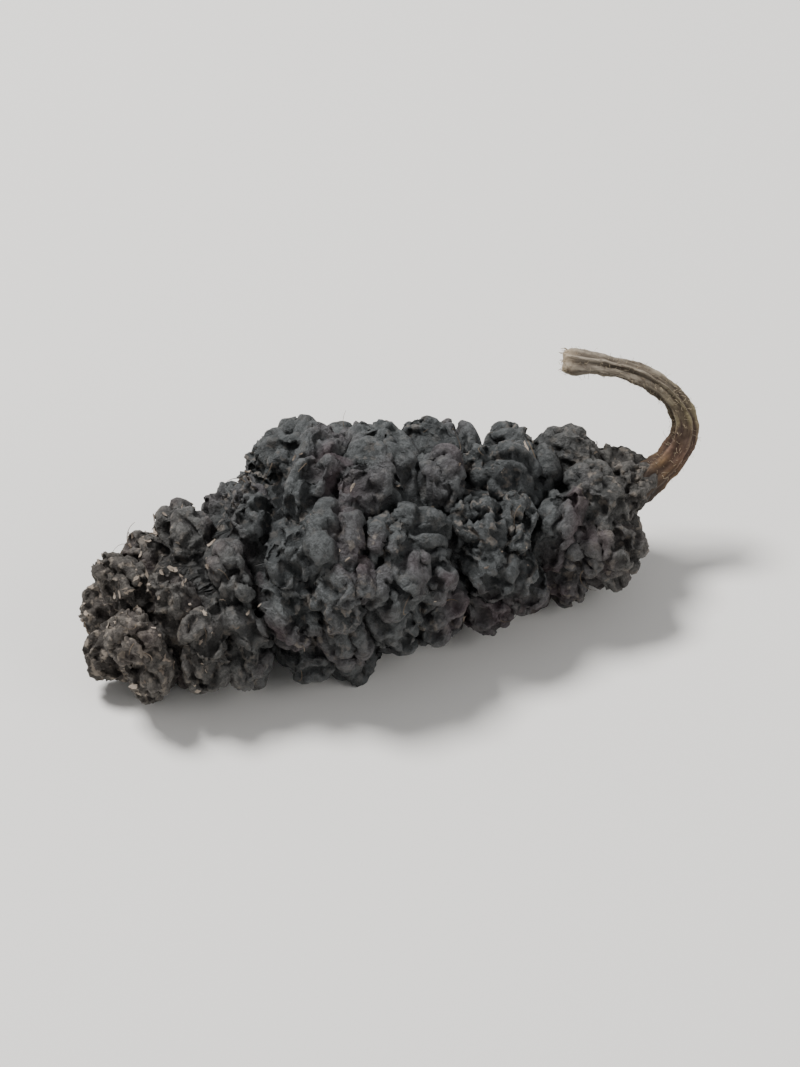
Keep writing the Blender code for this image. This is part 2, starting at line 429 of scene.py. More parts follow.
def stalkFrames(rings):  # for each ring its share of the way, its centre and the ways along, across and up
    sideWay = Vector((0, 1, 0))
    for number in range(rings):
        share = number / (rings - 1)
        low, high = max(0.0, share - fruit["slopeStep"]), min(1.0, share + fruit["slopeStep"])
        heading = (stalkPoint(high) - stalkPoint(low)).normalized()
        sideWay = (sideWay - heading * sideWay.dot(heading)).normalized()
        yield share, stalkPoint(share), heading, sideWay, heading.cross(sideWay)


def outlineShift():
    points = []
    for share, centre, _, sideWay, upWay in stalkFrames(stalk["solidRings"]):
        radius = stalk["radius"] * between(stalk["solidOutline"], share)
        for side in range(stalk["solidSides"]):
            turn = math.tau * side / stalk["solidSides"]
            points.append(centre + radius * (sideWay * math.cos(turn) + upWay * math.sin(turn)))
    low = Vector([min(point[side] for point in points) for side in range(3)])
    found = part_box("stalk")[0] - low
    print("outline shift, mm:", [round(value / mm, 3) for value in found])
    return found


# The skin: a few drupelets are modelled and dried once, copied to their places and joined into one

def planDrupelet(draw):  # its furrows and its bend
    furrows = []
    heading = draw.uniform(0, math.pi)
    for _ in range(drupelet["furrows"]):
        heading += math.pi / drupelet["furrows"]
        heading += draw.uniform(-drupelet["furrowTurnSpread"], drupelet["furrowTurnSpread"])
        offset = draw.uniform(-drupelet["furrowOffset"], drupelet["furrowOffset"])
        wide = draw.uniform(*drupelet["furrowWidths"])
        deep = draw.uniform(*drupelet["furrowDepths"])
        furrows.append((Vector((math.cos(heading), math.sin(heading), 0)), offset, wide, deep))
    return furrows, draw.uniform(-drupelet["beanBend"], drupelet["beanBend"])


def modelDrupelet(number, plan, draw):
    furrows, bend = plan
    half = Vector(drupelet["size"]) / 2 / mm
    bpy.ops.object.select_all(action="DESELECT")
    bpy.ops.mesh.primitive_ico_sphere_add(subdivisions=drying["detail"], radius=1)
    piece = bpy.context.object
    piece.name = f"drupelet_{number}"
    own = Vector((number * 7.0, 3.0, 1.0))
    waveHeight, waveFineness = drying["waver"]
    soft, firm = drying["flesh"]
    flesh = piece.vertex_groups.new(name="flesh")
    grain = newValues(piece, "grain", "FLOAT_VECTOR")
    for vert in piece.data.vertices:
        way = vert.co.normalized()
        blunt = sum(abs(part) ** drupelet["bluntness"] for part in way) ** (-1 / drupelet["bluntness"])
        crown = max(0.0, way.z - drupelet["furrowLow"]) / (1 - drupelet["furrowLow"])
        sunk = sum(deep * math.exp(-((way.dot(across) - offset) / wide) ** 2)
                   for across, offset, wide, deep in furrows)
        co = way * blunt * (1 - crown * sunk)
        co.y += bend * co.x ** 2
        co = Vector((co.x * half.x, co.y * half.y, co.z * half.z))
        vert.co = co + way * waveHeight * noise.noise(co * waveFineness + own)
        grain[vert.index].vector = co
        firmness = soft + (firm - soft) * (0.5 + 0.5 * noise.noise(co * drying["fleshFineness"] + own))
        flesh.add([vert.index], 1.0 if co.z < drying["rootLevel"] else firmness, "REPLACE")
    cloth = piece.modifiers.new("Dry", "CLOTH")
    cloth.point_cache.frame_start, cloth.point_cache.frame_end = 1, drying["frames"]
    settings = cloth.settings
    for name, value in drying["cloth"].items():
        setattr(settings, name, value)
    stiffness = draw.random()
    least, most = drying["bending"]
    settings.bending_stiffness = least * (most / least) ** stiffness
    loose, tight = drying["skinGrowth"]
    settings.shrink_min = -(loose + (tight - loose) * stiffness)
    settings.use_pressure = True
    settings.uniform_pressure_force = -draw.uniform(*drying["suction"])
    settings.vertex_group_mass = "flesh"
    settings.effector_weights.gravity = 0
    return piece


def dryDrupelets(pieces):
    half = Vector(drupelet["size"]) / 2 / mm
    for number in range(1, drying["frames"] + 1):
        bpy.context.scene.frame_set(number)
    for piece in pieces:
        wet = [(vert.co.copy(), vert.normal.copy()) for vert in piece.data.vertices]
        pickOnly(piece)
        bpy.ops.object.modifier_apply(modifier="Dry")
        for vert, (start, outward) in zip(piece.data.vertices, wet):
            moved = vert.co - start
            out = moved.dot(outward)
            most = drying["mostOut"] if out > 0 else drying["mostIn"]
            moved += outward * (most * math.tanh(out / most) - out)
            co = start + moved
            slim = 1 - drying["slimmer"] * ramp(*drying["slimLevels"], co.z / half.z)
            vert.co = (slim * co.x / half.x, slim * co.y / half.y, co.z / half.z)
    print("drupelets dried:", len(pieces))


core = {
    "depth": 0.0021,
    "ends": (0.06, 0.94),
    "bluntness": 1.6,  # of its ends
    "rings": 120,
    "sides": 90,
    "leastRadius": 0.0009,
}


def modelCore():
    bpy.ops.object.select_all(action="DESELECT")
    bpy.ops.mesh.primitive_uv_sphere_add(segments=core["sides"], ring_count=core["rings"], radius=1)
    piece = bpy.context.object
    piece.name = "mulberrySkin"
    first, last = core["ends"]
    grain = newValues(piece, "grain", "FLOAT_VECTOR")
    for vert in piece.data.vertices:
        share = first + (last - first) * (0.5 + 0.5 * vert.co.z)
        radius = max(halfWidth(share) - core["depth"], core["leastRadius"])
        ring = math.hypot(vert.co.x, vert.co.y)
        turn = math.atan2(vert.co.y, vert.co.x)
        vert.co = axisPoint(share) + radius * min(1.0, ring * core["bluntness"]) * roundAxis(turn)
        grain[vert.index].vector = (vert.co.x / mm, turn * radius / mm, drying["rootLevel"] - 1)
    pickOnly(piece)
    bpy.ops.object.mode_set(mode="EDIT")
    bpy.ops.mesh.select_all(action="SELECT")
    bpy.ops.mesh.normals_make_consistent(inside=False)
    bpy.ops.object.mode_set(mode="OBJECT")
    return piece


skin = {
    "mostTriangles": 196000,
    "broad": (0.0016, 0.00006),  # size and height of its unevenness, in metres
    "plates": (0.0016, 0.00013),  # of the crust's small plates, which stand at different heights
    "plateWarp": (1.7, 0.3),  # how finely and how far the plates' edges wander
    "cracks": (0.16, 0.00018),  # between the plates: width as a share of a plate, and depth
    "ribs": (0.00046, 0.00017),  # of the fine ribs that run along each drupelet
    "ribStretch": 0.3,  # how fine they are along it, against across it
    "ribMiddle": 0.4,
    "ribFade": 0.6,  # how much lower they are where the skin crumbles
    "crumbs": (0.00045, 0.00032),  # of the crumbly stretches, above all at both ends
    "crumbMiddle": 0.36,
    "crumbPatches": 0.0030,
    "crumbLeast": 0.16,  # how crumbly the rest is
    "tipCrumbs": (0.26, 0.04),  # shares of the length between which the tip's stretch sets in
    "tailCrumbs": (0.8, 0.94),  # and the stalk end's
    "tailMost": 0.8,  # how crumbly that end gets
    "smoothing": 0.6,  # in each round
    "crease": (8, 1.5, 0.7),  # rounds of smoothing, and how much ridges rise and hollows sink against that
    "mostCrease": 0.00018,
    "gaps": (-0.000055, -0.00003),  # how far below that smoothing a narrow gap and an open fold lie
    "gapRelief": 0.35,  # the share of the finer relief that a narrow gap gets
    "reliefRounds": 14,  # of smoothing, to tell ridges from hollows
    "collar": (0.0015, 0.0006),  # round the stalk's line: how far out and how high the skin clings to it
    "collarWaves": (0.0005, 0.9),  # how coarse and how uneven it is
    "seatSoftness": 0.00004,
}


def keepOuterSkin(piece):
    pickOnly(piece)
    tipmost = min(piece.data.vertices, key=lambda vert: vert.co.x).index
    bpy.ops.object.mode_set(mode="EDIT")
    bpy.ops.mesh.select_all(action="DESELECT")
    bpy.ops.object.mode_set(mode="OBJECT")
    piece.data.vertices[tipmost].select = True
    bpy.ops.object.mode_set(mode="EDIT")
    bpy.ops.mesh.select_linked()
    bpy.ops.mesh.select_all(action="INVERT")
    bpy.ops.mesh.delete(type="VERT")
    bpy.ops.object.mode_set(mode="OBJECT")


def depthBelowOutline(place):
    share = min(max(place.x / fruit["length"] + 0.5, 0.0), 1.0)
    out = place - axisPoint(share)
    past = max(0.0, abs(place.x) - fruit["length"] / 2)
    return halfWidth(share) - math.hypot(out.y, out.z / fruit["heightShare"]) - past


def crumble(piece, shift, openness):  # the finer relief, and how crumbly each place is
    broad, broadHeight = skin["broad"]
    plates, plateHeight = skin["plates"]
    warpFineness, warpReach = skin["plateWarp"]
    crackWidth, crackDepth = skin["cracks"]
    ribs, ribHeight = skin["ribs"]
    crumbs, crumbHeight = skin["crumbs"]
    inGaps = skin["gapRelief"]
    grain = piece.data.attributes["grain"].data
    own = piece.data.attributes["own"].data
    crumbly = newValues(piece, "crumbly")
    normals = [vert.normal.copy() for vert in piece.data.vertices]
    # the warp is made of plain noises, because noise_vector gives other values in each run
    warps = [Vector((side * 17.3, 5.1, 9.7)) for side in range(3)]
    for number, (vert, normal) in enumerate(zip(piece.data.vertices, normals)):
        share = (vert.co.x - shift.x) / fruit["length"] + 0.5
        patch = ramp(0.0, 0.4, noise.noise(vert.co / skin["crumbPatches"] + Vector((4, 0, 0))))
        tip = ramp(*skin["tipCrumbs"], share)
        tail = skin["tailMost"] * ramp(*skin["tailCrumbs"], share)
        rough = max(skin["crumbLeast"], patch, tip, tail)
        local = Vector(grain[number].vector) + Vector((own[number].value * 40, 0, 0))
        stretched = Vector((local.x * skin["ribStretch"], local.y, local.z)) * (mm / ribs)
        lift = broadHeight * noise.noise(vert.co / broad)
        swirl = vert.co / plates * warpFineness
        warp = Vector([noise.noise(swirl + offset) for offset in warps])
        distances, seeds = noise.voronoi(vert.co / plates + warp * warpReach)
        lift += plateHeight * noise.cell(seeds[0] * 9)  # a level of its own for each plate
        lift -= crackDepth * max(0.0, 1 - (distances[1] - distances[0]) / crackWidth)
        rib = (1 - min(1.0, 2 * abs(noise.noise(stretched)))) ** 2
        lift += ribHeight * (rib - skin["ribMiddle"]) * (1 - skin["ribFade"] * rough)
        lift += crumbHeight * rough * (skin["crumbMiddle"] - noise.turbulence(vert.co / crumbs, 2, True))
        vert.co += normal * lift * (inGaps + (1 - inGaps) * openness[number])
        crumbly[number].value = rough


def smoothedCopy(piece, rounds):
    worn = copyOf(piece)
    applyModifier(worn, "SMOOTH", factor=skin["smoothing"], iterations=rounds)
    return worn


def creaseFolds(piece):  # drying leaves thin crests and sharp creases; gives how open each place lies
    rounds, rise, sink = skin["crease"]
    worn = smoothedCopy(piece, rounds)
    narrow, broad = skin["gaps"]
    openness = []
    for vert, flat in zip(piece.data.vertices, worn.data.vertices):
        lift = (vert.co - flat.co).dot(flat.normal)
        openness.append(ramp(narrow, broad, lift))
        lift *= rise if lift > 0 else sink
        vert.co += flat.normal * min(max(lift, -skin["mostCrease"]), skin["mostCrease"])
    bpy.data.objects.remove(worn)
    return openness


def pressSeat(piece):
    softness = skin["seatSoftness"]
    for vert in piece.data.vertices:
        if vert.co.z < softness:
            vert.co.z = softness * math.exp((vert.co.z - softness) / softness)


def noteRelief(piece, shift):  # how far each place is below the outline and above its own surroundings
    depth, relief, along = [newValues(piece, name) for name in ("depth", "relief", "along")]
    worn = smoothedCopy(piece, skin["reliefRounds"])
    for number, (vert, flat) in enumerate(zip(piece.data.vertices, worn.data.vertices)):
        depth[number].value = depthBelowOutline(vert.co - shift) / mm
        relief[number].value = (vert.co - flat.co).dot(flat.normal) / mm
        along[number].value = (vert.co.x - shift.x) / fruit["length"] + 0.5
    bpy.data.objects.remove(worn)
    print("relief noted")


def clingToStalk(piece, shift):  # the skin dries up along the stalk's root in an uneven collar
    reach, rise = skin["collar"]
    coarse, uneven = skin["collarWaves"]
    rings = [(centre + shift, heading) for share, centre, heading, *_ in stalkFrames(stalk["rings"])
             if share < stalk["rooted"]]
    for vert in piece.data.vertices:
        if vert.co.x < rings[0][0].x:
            continue
        centre, heading = min(rings, key=lambda ring: (ring[0] - vert.co).length_squared)
        out = vert.co - centre
        out -= heading * out.dot(heading)
        near = 1 - ramp(stalk["radius"], reach, out.length)
        vert.co += heading * rise * near * near * (1 + uneven * noise.noise(vert.co / coarse))


def makeSkin(shift):
    draw = random.Random(drupelet["seed"])
    plans = [planDrupelet(draw) for _ in range(drupelet["shapes"])]
    dryDraw = random.Random(drying["seed"])
    masters = [modelDrupelet(number, plan, dryDraw) for number, plan in enumerate(plans * drying["ways"])]
    dryDrupelets(masters)
    piece = modelCore()
    heap = bpy.data.collections.new("drupelets")
    bpy.context.scene.collection.children.link(heap)
    for number, place in enumerate(drupeletPlaces()):
        grown = masters[number % len(masters)].copy()
        grown.data = grown.data.copy()
        tone = (number * 0.618) % 1  # neighbours differ
        newValues(grown, "own").foreach_set("value", [tone] * len(grown.data.vertices))
        grown.data.transform(place)
        heap.objects.link(grown)
    applyModifier(piece, "BOOLEAN", operation="UNION", operand_type="COLLECTION", collection=heap,
                  solver="MANIFOLD")
    for used in [*heap.objects, *masters]:
        bpy.data.objects.remove(used)
    bpy.data.collections.remove(heap)
    print("skin joined:", trianglesOf(piece))
    keepOuterSkin(piece)
    piece.data.transform(Matrix.Translation(shift))
    openness = creaseFolds(piece)
    clingToStalk(piece, shift)
    crumble(piece, shift, openness)
    triangles = trianglesOf(piece)
    if triangles > skin["mostTriangles"]:
        applyModifier(piece, "DECIMATE", ratio=skin["mostTriangles"] / triangles)
    pressSeat(piece)
    noteRelief(piece, shift)
    pickOnly(piece)
    bpy.ops.object.shade_smooth()
    dress(piece, driedSkin())
    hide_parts("fruit")
    return piece


def driedSkin():  # sun-dried skin: matt and nearly black, dusty grey with painted highlight on its ridges and painted shade in its hollows, with wine and brown
    made, tree, shader = newMaterial("sun-dried mulberry skin")
    place = addNode(tree, "ShaderNodeTexCoord").outputs["Object"]
    depth, relief, own, along, crumbly = [
        addNode(tree, "ShaderNodeAttribute", attribute_name=name).outputs["Fac"]
        for name in ("depth", "relief", "own", "along", "crumbly")
    ]
    grain = addNode(tree, "ShaderNodeAttribute", attribute_name="grain").outputs["Vector"]

    # the flesh colour: slate black, some drupelets wine or brown
    patches = addNode(tree, "ShaderNodeTexNoise", {"Scale": 1 / 0.0046, "Detail": 2.0}, {"Vector": place})
    mixed = addNode(tree, "ShaderNodeMath", {1: 0.16}, {0: own, 2: patches.outputs["Fac"]},
                    operation="MULTIPLY_ADD").outputs["Value"]
    tones = addNode(tree, "ShaderNodeValToRGB", None, {"Fac": mixed}, stops=(
        (0.0, "#26292a"), (0.58, "#2b2d2d"), (0.68, "#302c2d"), (0.75, "#362a2d"), (0.84, "#352e2b"),
    )).outputs["Color"]
    ends = addNode(tree, "ShaderNodeValToRGB", None, {"Fac": along}, stops=(
        (0.04, "#e0e0e0"), (0.3, "#000000"), (0.78, "#000000"), (0.95, "#b8b8b8"),
    )).outputs["Color"]
    flesh = addNode(tree, "ShaderNodeMix", {"B": hexColour("#2c241e")}, {"Factor": ends, "A": tones},
                    data_type="RGBA")

    # fine wrinkles along each drupelet, 0.5 mm apart
    stretched = addNode(tree, "ShaderNodeMapping", {"Scale": (skin["ribStretch"], 1, 1)}, {"Vector": grain})
    wrinkles = addNode(tree, "ShaderNodeTexNoise",
                       {"Scale": 1 / 0.5, "Detail": 2.0, "Distortion": 0.6, "Offset": 1.0, "Gain": 1.2},
                       {"Vector": stretched.outputs["Vector"]}, noise_type="RIDGED_MULTIFRACTAL")

    # dusty bloom and painted highlight on what stands out, painted shade in the folds, on each drupelet's
    # lower sides and deep below the outline, and pitted: each of these is its share
    crown = addNode(tree, "ShaderNodeSeparateXYZ", None, {"Vector": grain}).outputs["Z"]
    mottle = addNode(tree, "ShaderNodeTexNoise", {"Scale": 1 / 0.0004, "Detail": 6.0, "Roughness": 0.75},
                     {"Vector": place})
    powderAndShadeMask = None
    for source, low, high, least, most in (
        # painted highlight on ridges, painted shade in folds
        (relief, -0.12, 0.07, 0.1, 1.0),
        (crown, -0.1, 1.5, 0.25, 1.3),  # mm from the drupelet's middle: painted shade towards its root, painted highlight on its crown
        # painted shade where the skin lies deep below the outline
        (depth, 1.9, 0.7, 0.4, 1.0),
        (own, 0.0, 1.0, 0.75, 1.05),
        (mottle.outputs["Fac"], 0.43, 0.57, 0.25, 1.25),
        # painted highlight on the fine wrinkles' ridges, painted shade between them
        (wrinkles.outputs["Fac"], 0.3, 1.2, 0.4, 1.4),
    ):
        part = addNode(tree, "ShaderNodeMapRange",
                       {"From Min": low, "From Max": high, "To Min": least, "To Max": most},
                       {"Value": source})
        if powderAndShadeMask:
            part = addNode(tree, "ShaderNodeMath", None, {0: powderAndShadeMask, 1: part.outputs["Result"]},
                           operation="MULTIPLY")
        powderAndShadeMask = part.outputs[0]
    # pale grey for the dusty bloom and the painted highlight
    powderAndHighlightTones = addNode(tree, "ShaderNodeValToRGB", None, {"Fac": mixed}, stops=(
        (0.62, "#686a6a"), (0.75, "#666062"), (0.85, "#69645e"),
    )).outputs["Color"]
    powderAndHighlight = addNode(tree, "ShaderNodeMix", {"B": hexColour("#7a7166")}, {"Factor": ends, "A": powderAndHighlightTones},
                   data_type="RGBA")
    powderedAndShaded = addNode(tree, "ShaderNodeMix", None,
                     {"Factor": powderAndShadeMask, "A": flesh.outputs["Result"], "B": powderAndHighlight.outputs["Result"]},
                     data_type="RGBA")

    # torn, paler specks of 0.4 mm and less where it crumbles
    specks = addNode(tree, "ShaderNodeTexNoise", {"Scale": 1 / 0.00042, "Detail": 2.0}, {"Vector": place})
    torn = addNode(tree, "ShaderNodeMapRange",
                   {"From Min": 0.55, "From Max": 0.66, "To Min": 0.0, "To Max": 0.85},
                   {"Value": specks.outputs["Fac"]})
    torn = addNode(tree, "ShaderNodeMath", None, {0: torn.outputs["Result"], 1: crumbly},
                   operation="MULTIPLY")
    tornFlesh = addNode(tree, "ShaderNodeMix", {"A": hexColour("#6c655e"), "B": hexColour("#8d8275")},
                        {"Factor": ends}, data_type="RGBA")
    colour = addNode(tree, "ShaderNodeMix", None,
                     {"Factor": torn.outputs["Value"], "A": powderedAndShaded.outputs["Result"],
                      "B": tornFlesh.outputs["Result"]}, data_type="RGBA")
    tree.links.new(colour.outputs["Result"], shader.inputs["Base Color"])

    # the wrinkles' relief over a leathery, pitted grain of 0.2 mm and finer
    leather = addNode(tree, "ShaderNodeTexNoise", {"Scale": 1 / 0.0002, "Detail": 4.0, "Roughness": 0.65},
                      {"Vector": place})
    pitting = addNode(tree, "ShaderNodeBump", {"Strength": 1.0, "Distance": 0.0002},
                      {"Height": leather.outputs["Fac"]})
    bump = addNode(tree, "ShaderNodeBump", {"Strength": 1.0, "Distance": 0.00032},
                   {"Height": wrinkles.outputs["Fac"], "Normal": pitting.outputs["Normal"]})
    tree.links.new(bump.outputs["Normal"], shader.inputs["Normal"])
    shader.inputs["Roughness"].default_value = 0.66
    shader.inputs["Specular IOR Level"].default_value = 0.35
    return made


# The stalk

def modelStalk(shift):
    bpy.ops.object.select_all(action="DESELECT")
    bpy.ops.curve.primitive_bezier_curve_add()
    piece = bpy.context.object
    piece.name = "mulberryStalk"
    piece.data.splines.clear()
    frames = list(stalkFrames(stalk["rings"]))
    spline = piece.data.splines.new("POLY")
    spline.points.add(len(frames) - 1)
    for point, (share, centre, *_) in zip(spline.points, frames):
        point.co = (*(centre + shift), 1)
        point.radius = between(stalk["outline"], share)
    piece.data.dimensions = "3D"
    piece.data.bevel_depth = stalk["radius"]
    piece.data.bevel_resolution = stalk["sides"] // 2 - 2
    piece.data.use_fill_caps = True
    pickOnly(piece)
    bpy.ops.object.convert(target="MESH")
    bpy.ops.object.mode_set(mode="EDIT")
    bpy.ops.mesh.select_all(action="SELECT")
    bpy.ops.mesh.remove_doubles(threshold=0.000001)
    bpy.ops.mesh.normals_make_consistent(inside=False)
    bpy.ops.mesh.select_all(action="DESELECT")
    bpy.ops.object.mode_set(mode="OBJECT")

    # the cut end: a rim, then a sunken pith
    end, heading = frames[-1][1] + shift, frames[-1][2]
    for face in piece.data.polygons:
        face.select = face.normal.dot(heading) > 0.9 and (face.center - end).length < stalk["radius"]
    bpy.ops.object.mode_set(mode="EDIT")
    bpy.ops.mesh.dissolve_faces()
    bpy.ops.mesh.inset(thickness=stalk["cutRim"] / 3, depth=stalk["cutLip"])
    bpy.ops.mesh.inset(thickness=stalk["cutRim"])
    bpy.ops.mesh.inset(thickness=stalk["cutRim"], depth=-stalk["cutSink"])
    bpy.ops.mesh.inset(thickness=stalk["cutRim"])
    bpy.ops.mesh.poke()
    bpy.ops.object.mode_set(mode="OBJECT")

    along, raised = [newValues(piece, name) for name in ("along", "raised")]
    bark = newValues(piece, "bark", "FLOAT_VECTOR")
    length = sum((frames[i + 1][1] - frames[i][1]).length for i in range(len(frames) - 1))
    wanderAlong, wanderFineness, wanderReach = stalk["ridgeWander"]
    fadeFrom, fade = stalk["ridgeFade"]
    tornFrom, tornHeight, tornSize = stalk["torn"]
    for number, vert in enumerate(piece.data.vertices):
        nearest = min(frames, key=lambda station: (station[1] + shift - vert.co).length_squared)
        share, centre, heading, sideWay, upWay = nearest
        out = vert.co - centre - shift
        turn = math.atan2(out.dot(upWay), out.dot(sideWay))
        around = Vector((math.cos(turn), math.sin(turn), share * wanderAlong))
        ridge = math.cos(stalk["ridges"] * turn + wanderReach * noise.noise(around * wanderFineness))
        knob, pit = [noise.noise(Vector((around.x * across, around.y * across, share * lengthwise)))
                     for across, lengthwise in (stalk["knobs"], stalk["pits"])]
        lift = stalk["ridgeHeight"] * ridge * (1 - fade * ramp(fadeFrom, 1.0, share))
        lift += stalk["knobHeight"] * knob + stalk["pitHeight"] * pit
        vert.co += out * lift / (stalk["radius"] * between(stalk["outline"], share))
        if share > tornFrom:
            vert.co += heading * tornHeight * noise.noise(vert.co / tornSize)
        along[number].value = share
        raised[number].value = ridge + knob
        bark[number].vector = (around.x * stalk["radius"], around.y * stalk["radius"], share * length)
    pickOnly(piece)
    bpy.ops.object.shade_smooth_by_angle(angle=math.radians(50))
    dress(piece, driedStalk())
    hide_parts("stalk")
    return piece


def driedStalk():  # sun-dried green stalk: tan and fibrous, streaked along, browner near the fruit
    made, tree, shader = newMaterial("sun-dried mulberry stalk")
    bark = addNode(tree, "ShaderNodeAttribute", attribute_name="bark").outputs["Vector"]
    along, raised = [addNode(tree, "ShaderNodeAttribute", attribute_name=name).outputs["Fac"]
                     for name in ("along", "raised")]

    # pale fibres 0.2 mm wide, lighter on the ridges, with painted shade between them
    stretched = addNode(tree, "ShaderNodeMapping", {"Scale": (1, 1, 0.14)}, {"Vector": bark})
    streaks = addNode(tree, "ShaderNodeTexNoise", {"Scale": 1 / 0.00022, "Detail": 4.0, "Roughness": 0.6},
                      {"Vector": stretched.outputs["Vector"]})
    streaky = addNode(tree, "ShaderNodeMapRange", {"From Min": 0.34, "From Max": 0.62},
                      {"Value": streaks.outputs["Fac"]})
    # painted shade in the furrows between the ridges, lighter on their crests
    crest = addNode(tree, "ShaderNodeMapRange",
                    {"From Min": -0.9, "From Max": 0.7, "To Min": 0.2, "To Max": 1.0}, {"Value": raised})
    fibresAndFurrowShade = addNode(tree, "ShaderNodeMath", None,
                    {0: streaky.outputs["Result"], 1: crest.outputs["Result"]}, operation="MULTIPLY")
    pale = addNode(tree, "ShaderNodeValToRGB", None, {"Fac": along}, stops=(
        (0.16, "#3a2d22"), (0.25, "#7a5f40"), (0.33, "#725747"),
        (0.48, "#857a5c"), (0.7, "#968b7a"), (1.0, "#a59a8a"),
    )).outputs["Color"]
    dark = addNode(tree, "ShaderNodeValToRGB", None, {"Fac": along}, stops=(
        (0.14, "#241a13"), (0.26, "#3b2719"), (0.36, "#38241b"), (0.6, "#352b20"), (1.0, "#463c31"),
    )).outputs["Color"]
    tan = addNode(tree, "ShaderNodeMix", None, {"Factor": fibresAndFurrowShade.outputs["Value"], "A": dark, "B": pale},
                  data_type="RGBA")

    # dark pits of 0.2 mm, and a paler cut end
    pits = addNode(tree, "ShaderNodeTexNoise", {"Scale": 1 / 0.00024, "Detail": 3.0}, {"Vector": bark})
    pitted = addNode(tree, "ShaderNodeMapRange",
                     {"From Min": 0.56, "From Max": 0.7, "To Min": 0.0, "To Max": 0.65},
                     {"Value": pits.outputs["Fac"]})
    spotted = addNode(tree, "ShaderNodeMix", {"B": hexColour("#3c2b1c")},
                      {"Factor": pitted.outputs["Result"], "A": tan.outputs["Result"]}, data_type="RGBA")
    ended = addNode(tree, "ShaderNodeMapRange",
                    {"From Min": 0.93, "From Max": 1.0, "To Min": 0.0, "To Max": 0.7}, {"Value": along})
    colour = addNode(tree, "ShaderNodeMix", {"B": hexColour("#a3927a")},
                     {"Factor": ended.outputs["Result"], "A": spotted.outputs["Result"]}, data_type="RGBA")
    tree.links.new(colour.outputs["Result"], shader.inputs["Base Color"])
    fibres = addNode(tree, "ShaderNodeBump", {"Strength": 0.8, "Distance": 0.00006},
                     {"Height": streaks.outputs["Fac"]})
    bump = addNode(tree, "ShaderNodeBump", {"Strength": 0.7, "Distance": 0.00006},
                   {"Height": pits.outputs["Fac"], "Normal": fibres.outputs["Normal"]})
    tree.links.new(bump.outputs["Normal"], shader.inputs["Normal"])
    shader.inputs["Roughness"].default_value = 0.8
    return made


# Dried threads: the styles left on the drupelets, and the stalk's down

threads = {
    "sides": 4,
    "cuts": 7,
    "taper": 0.45,
    "arch": 2.2,  # how far round a lifted thread bends, in radians
    "styles": 48,
    "styleLengths": (0.0004, 0.0013),
    "styleRadius": 0.000024,
    "styleSpread": (0.7, 1.25),  # of the radius
    "styleLift": (0.02, 0.3),
    "styleCurl": 2.2,
    "styleRoot": 0.00006,  # how deep in the skin it starts
    "styleDepth": 0.9,  # mm below the outline, at most
    "styleFloor": 0.0012,  # metres above the floor, at least
    "styleWalls": 0.35,  # the share of them that upright places keep
    "down": 420,
    "downLengths": (0.00008, 0.00024),
    "downRadius": 0.000009,
    "downLift": (0.5, 1.4),
    "downCurl": 0.6,
    "downRoot": 0.00002,
    "downFrom": 0.2,  # where on the stalk it starts, as a share of the length
    "fray": 46,  # torn fibres round the stalk's cut end
    "frayLengths": (0.00012, 0.00042),
    "frayRadius": 0.000016,
    "fraySpread": (0.7, 1.3),
    "frayLift": (-0.3, 0.5),
    "frayCurl": 0.5,
    "frayRoot": 0.00012,
    "frayFrom": 0.975,
    "seed": 21,
}


def modelThread():  # a thin tapered thread, 1 long, from the origin up +Z
    bpy.ops.object.select_all(action="DESELECT")
    bpy.ops.mesh.primitive_cone_add(vertices=threads["sides"], radius1=1, radius2=threads["taper"], depth=1,
                                    location=(0, 0, 0.5))
    piece = bpy.context.object
    bpy.ops.object.transform_apply(location=True, rotation=True, scale=True)
    bpy.ops.object.mode_set(mode="EDIT")
    for number in range(1, threads["cuts"]):
        bpy.ops.mesh.select_all(action="SELECT")
        bpy.ops.mesh.bisect(plane_co=(0, 0, number / threads["cuts"]), plane_no=(0, 0, 1))
    bpy.ops.mesh.select_all(action="SELECT")
    bpy.ops.mesh.quads_convert_to_tris()
    bpy.ops.object.mode_set(mode="OBJECT")
    return piece


def layThread(master, start, outward, sideways, length, radius, lift, curl):
    made = copyOf(master)
    third = outward.cross(sideways).normalized()
    for vert in made.data.vertices:
        run = vert.co.z
        swing = curl * run
        reach = length * run
        heading = sideways * math.cos(swing) + third * math.sin(swing)
        spine = start + heading * reach + outward * length * lift * math.sin(run * threads["arch"])
        across = heading.cross(outward).normalized()
        vert.co = spine + radius * (across * vert.co.x + outward * vert.co.y)
    return made


def sidewaysOf(normal, draw):  # some way along the surface
    aim = Vector((draw.gauss(0, 1), draw.gauss(0, 1), draw.gauss(0, 1)))
    return (aim - normal * aim.dot(normal)).normalized()


def scatter(piece, shift, seed, number, shares, suits):
    # each try has draws of its own and takes the nearest place, so one vertex more or less changes no other
    depths = (0.75, 1.05)  # where it looks, as shares of the fruit's half width
    tree = kdtree.KDTree(len(piece.data.vertices))
    for vert in piece.data.vertices:
        tree.insert(vert.co, vert.index)
    tree.balance()
    attempt = 0
    while number:
        draw = random.Random(seed * 100000 + attempt)
        attempt += 1
        share, turn = draw.uniform(*shares), draw.uniform(0, math.tau)
        aim = axisPoint(share) + halfWidth(share) * draw.uniform(*depths) * roundAxis(turn) + shift
        vert = piece.data.vertices[tree.find(aim)[1]]
        if suits(vert, draw.random()):
            number -= 1
            yield vert, draw


